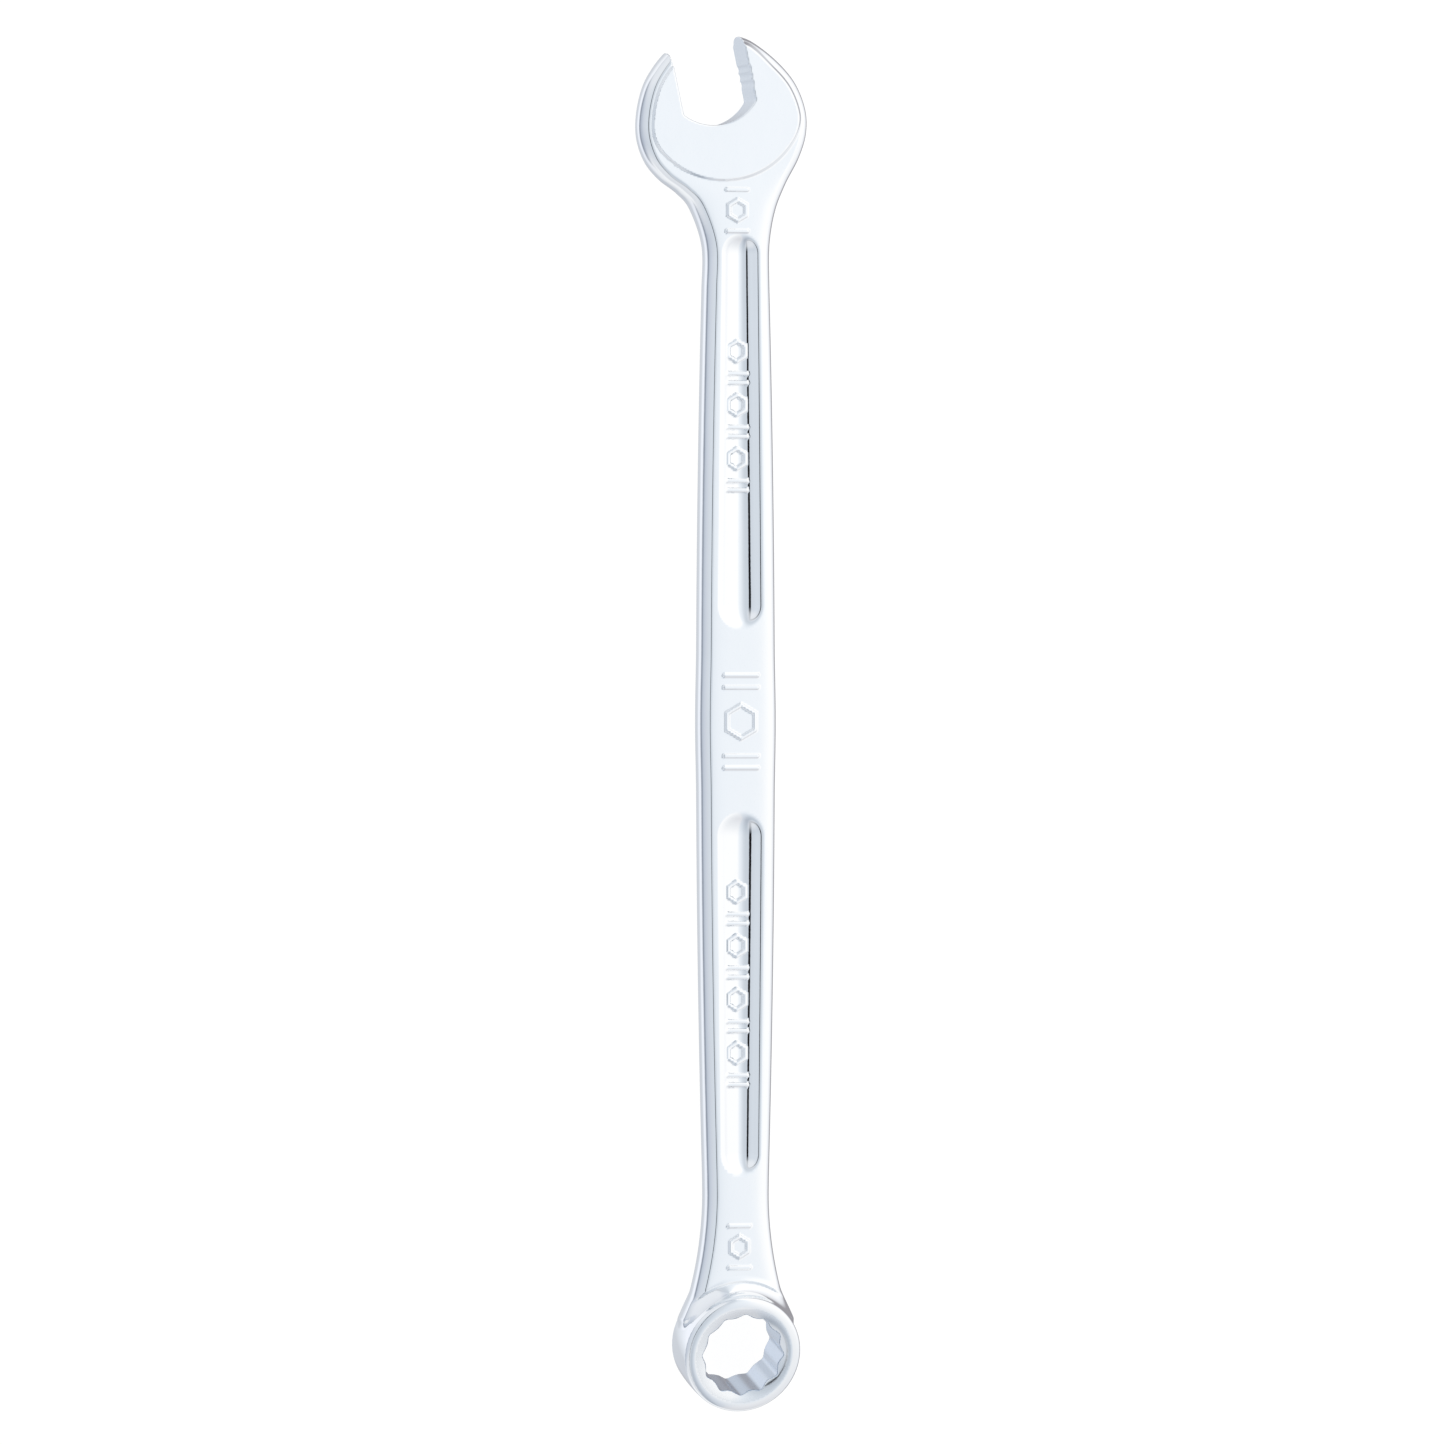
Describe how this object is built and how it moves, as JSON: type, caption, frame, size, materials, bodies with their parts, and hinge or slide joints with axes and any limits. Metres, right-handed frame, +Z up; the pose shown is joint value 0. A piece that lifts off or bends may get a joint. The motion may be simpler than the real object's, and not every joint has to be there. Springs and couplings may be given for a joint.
{
  "type": "combination wrench",
  "caption": "Slim chrome combination wrench with an angled open end, a grooved flat shank and a tilted twelve-point box end for a 5/16 in hexagon.",
  "frame": {"origin": "centre of the footprint of the wrench as it lies face up on a surface", "axes": "+Y along the wrench towards the open end, +Z up out of its front face, +X to the right with the open end away from the viewer"},
  "size_m": [0.0186, 0.1484, 0.0087],
  "materials": {
    "chrome_plate": "bright polished chrome plate, satin inside the jaws and the twelve-point hole"
  },
  "bodies": {
    "root": {"open_end_head": "chrome_plate", "shank": "chrome_plate", "box_end_head": "chrome_plate"}
  },
  "joints": []
}
